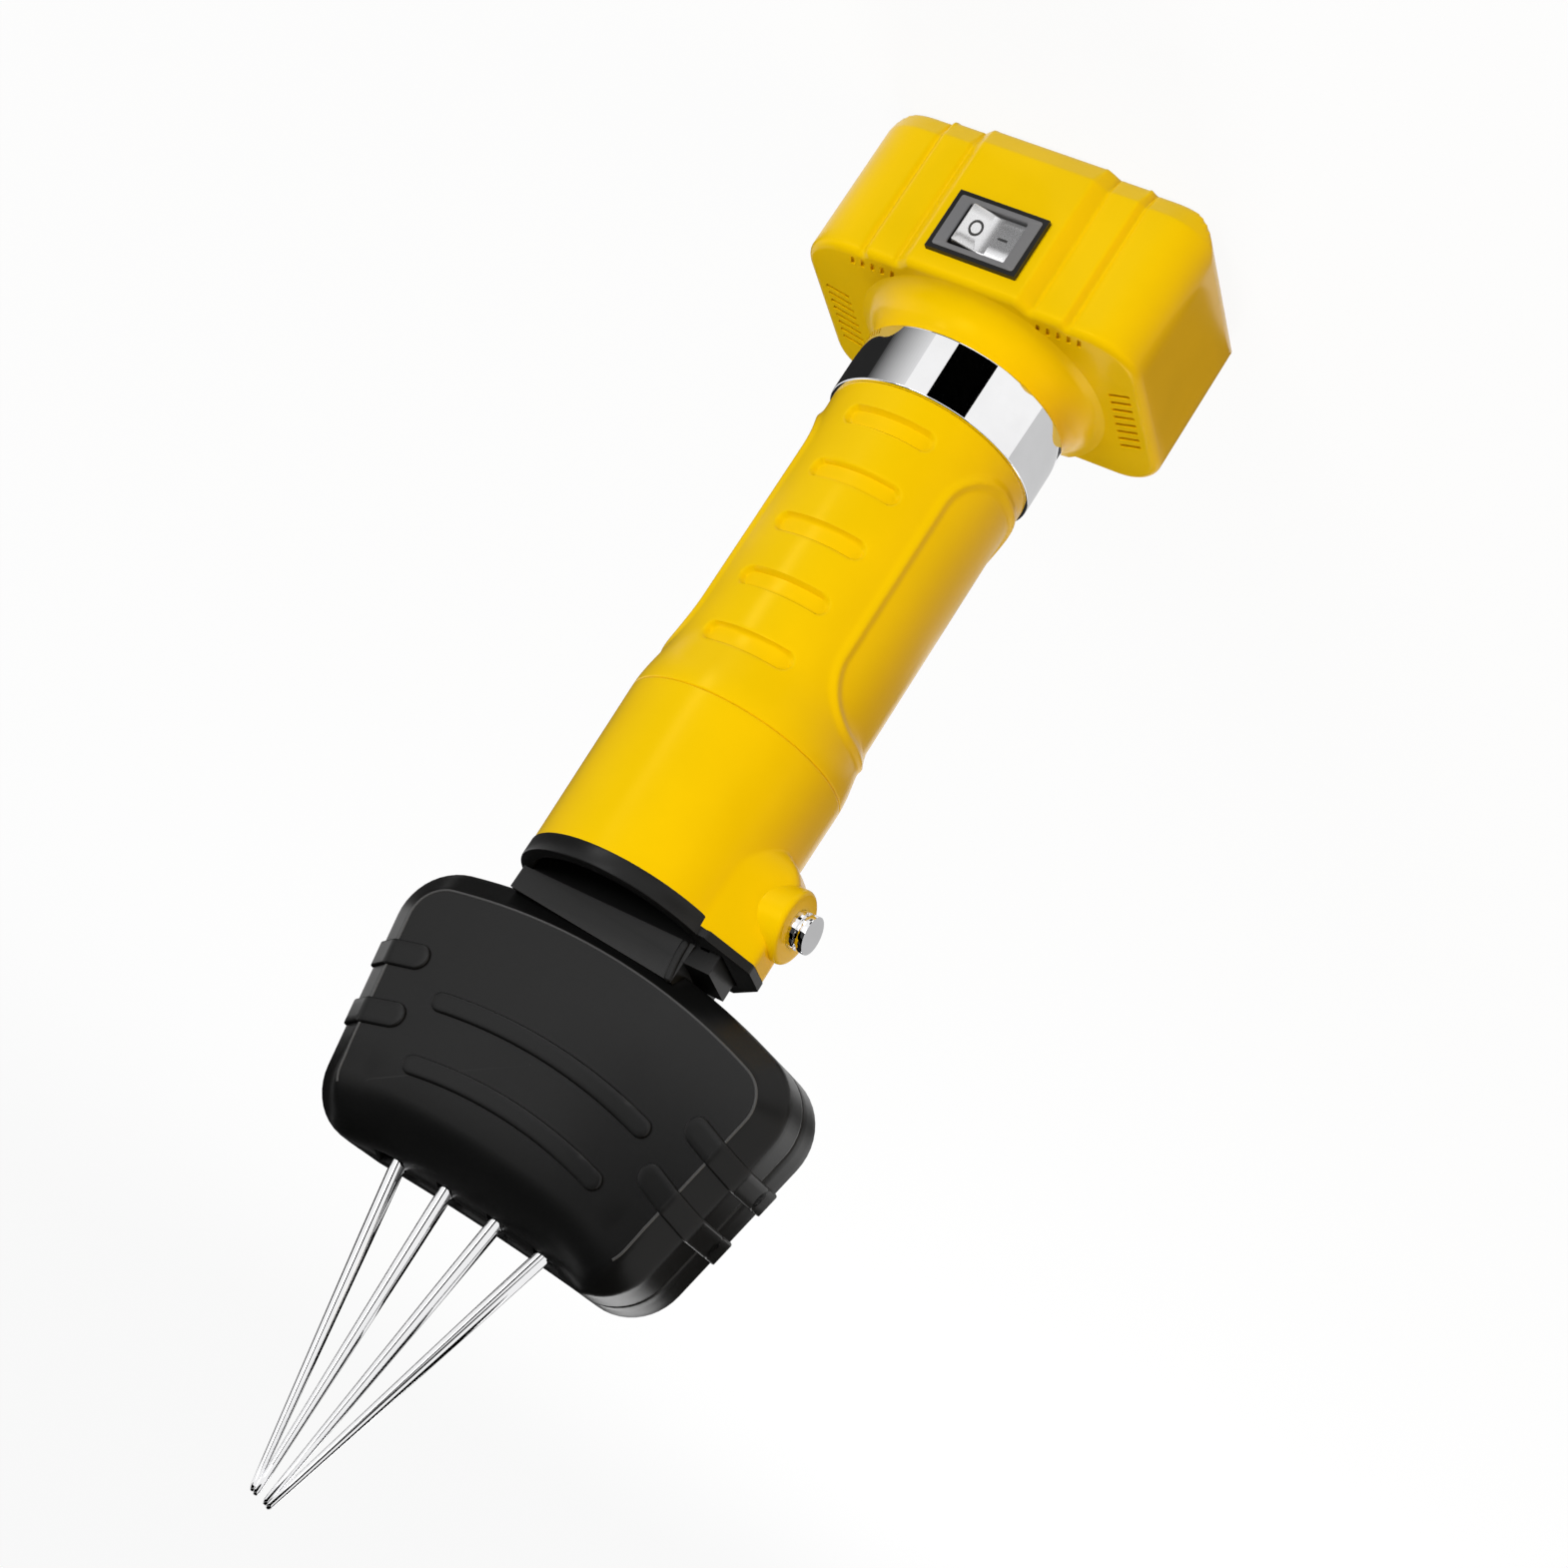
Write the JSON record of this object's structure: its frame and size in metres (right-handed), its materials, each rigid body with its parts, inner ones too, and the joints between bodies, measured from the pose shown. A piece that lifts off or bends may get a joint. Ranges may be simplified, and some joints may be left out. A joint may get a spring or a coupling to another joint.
{
  "type": "poultry_plucker",
  "caption": "Handheld cordless poultry plucker: yellow barrel grip on a battery foot, chrome ring, rocker switch, head lock button and a black head with slim steel prongs.",
  "frame": {"origin": "centre of the battery dock's end face, on the handle axis", "axes": "+Z runs along the handle from the battery foot to the prongs, -Y is the switch side, +X is on the left of the switch as a viewer in front of it with the prongs down sees it"},
  "size_m": [0.0948, 0.0628, 0.3122],
  "materials": {
    "yellow_shell": "smooth moulded housing, slightly glossy",
    "black_moulding": "fine textured black moulding",
    "chrome_plate": "bright polished plating",
    "silver_plastic": "silver coated plastic with O and I marks",
    "insulator": "plain insulating plastic",
    "contact_brass": "bare brass and bronze",
    "zinc_steel": "zinc coated steel",
    "dark_sinter": "dark sintered metal and graphite",
    "nylon": "natural nylon",
    "red_lead": "red insulated wire",
    "black_lead": "black insulated wire"
  },
  "bodies": {
    "housing": {"base_housing": "yellow_shell", "grip_collar": "yellow_shell", "grip_barrel": "yellow_shell", "gear_housing": "yellow_shell", "dock_plate": "black_moulding", "switch_bezel": "black_moulding", "nose_ring": "black_moulding", "head_neck": "black_moulding", "head_front_shell": "black_moulding", "head_rear_shell": "black_moulding", "motor_end_cap": "black_moulding", "trim_ring": "chrome_plate", "inner_prongs": "chrome_plate", "jaw_pins": "chrome_plate", "terminal_block": "insulator", "prong_block": "insulator", "terminal_blades": "contact_brass", "switch_terminals": "contact_brass", "motor_terminals": "contact_brass", "motor_bushes": "contact_brass", "shaft_bushes": "contact_brass", "neck_bush": "contact_brass", "base_screws": "zinc_steel", "barrel_screws": "zinc_steel", "motor_screws": "zinc_steel", "plate_screws": "zinc_steel", "head_screws": "zinc_steel", "frame_screws": "zinc_steel", "motor_can": "zinc_steel", "jaw_springs": "zinc_steel", "jaw_frame": "zinc_steel", "gearbox_cover": "zinc_steel", "bearing_plate": "zinc_steel", "ring_gear": "dark_sinter", "motor_magnets": "dark_sinter", "motor_brushes": "dark_sinter", "battery_lead": "red_lead", "switch_lead": "red_lead", "return_lead": "black_lead"},
    "rocker": {"switch_rocker": "silver_plastic"},
    "button": {"lock_button": "chrome_plate", "lock_spring": "zinc_steel"},
    "rotor": {"motor_shaft": "zinc_steel", "motor_armature": "dark_sinter", "motor_commutator": "contact_brass", "sun_gear": "zinc_steel"},
    "carrier": {"planet_carrier": "zinc_steel", "planet_pins": "chrome_plate", "output_gear": "zinc_steel"},
    "planet_1": {"planet_gear_1": "nylon"},
    "planet_2": {"planet_gear_2": "nylon"},
    "planet_3": {"planet_gear_3": "nylon"},
    "head_drive": {"head_shaft": "zinc_steel", "head_gear": "nylon", "drive_cam": "zinc_steel"},
    "jaw_left": {"left_jaw": "zinc_steel", "left_outer_prong": "chrome_plate"},
    "jaw_right": {"right_jaw": "zinc_steel", "right_outer_prong": "chrome_plate"}
  },
  "joints": [
    {"name": "switch_rocker_tilt", "type": "hinge", "parent": "housing", "child": "rocker", "pos_m": [0, -0.0286, 0.0259], "axis": [0, 0, 1], "range_deg": [0, 20]},
    {"name": "lock_button_press", "type": "slide", "parent": "housing", "child": "button", "axis": [1, 0, 0], "range_m": [0, 0.004], "stiffness_N_per_m": 300},
    {"name": "motor_spin", "type": "hinge", "parent": "housing", "child": "rotor", "pos_m": [0, 0, 0.11], "axis": [0, 0, 1], "continuous": true},
    {"name": "carrier_spin", "type": "hinge", "parent": "housing", "child": "carrier", "pos_m": [0, 0, 0.147], "axis": [0, 0, 1], "continuous": true},
    {"name": "planet_1_spin", "type": "hinge", "parent": "carrier", "child": "planet_1", "pos_m": [0.009, 0, 0.138], "axis": [0, 0, 1], "continuous": true},
    {"name": "planet_2_spin", "type": "hinge", "parent": "carrier", "child": "planet_2", "pos_m": [-0.0045, 0.00779, 0.138], "axis": [0, 0, 1], "continuous": true},
    {"name": "planet_3_spin", "type": "hinge", "parent": "carrier", "child": "planet_3", "pos_m": [-0.0045, -0.00779, 0.138], "axis": [0, 0, 1], "continuous": true},
    {"name": "head_shaft_spin", "type": "hinge", "parent": "housing", "child": "head_drive", "pos_m": [-0.00293, 0.00849, 0.155], "axis": [0, 0, 1], "continuous": true},
    {"name": "left_jaw_open", "type": "hinge", "parent": "housing", "child": "jaw_left", "pos_m": [0.00895, 0.00662, 0.19723], "axis": [0, 0.9898, -0.1426], "range_deg": [0, 3.5], "stiffness_Nm_per_rad": 0.5},
    {"name": "right_jaw_open", "type": "hinge", "parent": "housing", "child": "jaw_right", "pos_m": [-0.01695, 0.00695, 0.19952], "axis": [0, 0.9898, -0.1426], "range_deg": [-3.5, 0], "stiffness_Nm_per_rad": 0.5}
  ],
  "couplings": [
    {"joint": "carrier_spin", "follows": "motor_spin", "ratio": 0.2},
    {"joint": "planet_1_spin", "follows": "motor_spin", "ratio": -0.53333},
    {"joint": "planet_2_spin", "follows": "motor_spin", "ratio": -0.53333},
    {"joint": "planet_3_spin", "follows": "motor_spin", "ratio": -0.53333},
    {"joint": "head_shaft_spin", "follows": "motor_spin", "ratio": -0.2},
    {"joint": "right_jaw_open", "follows": "left_jaw_open", "ratio": -1}
  ]
}
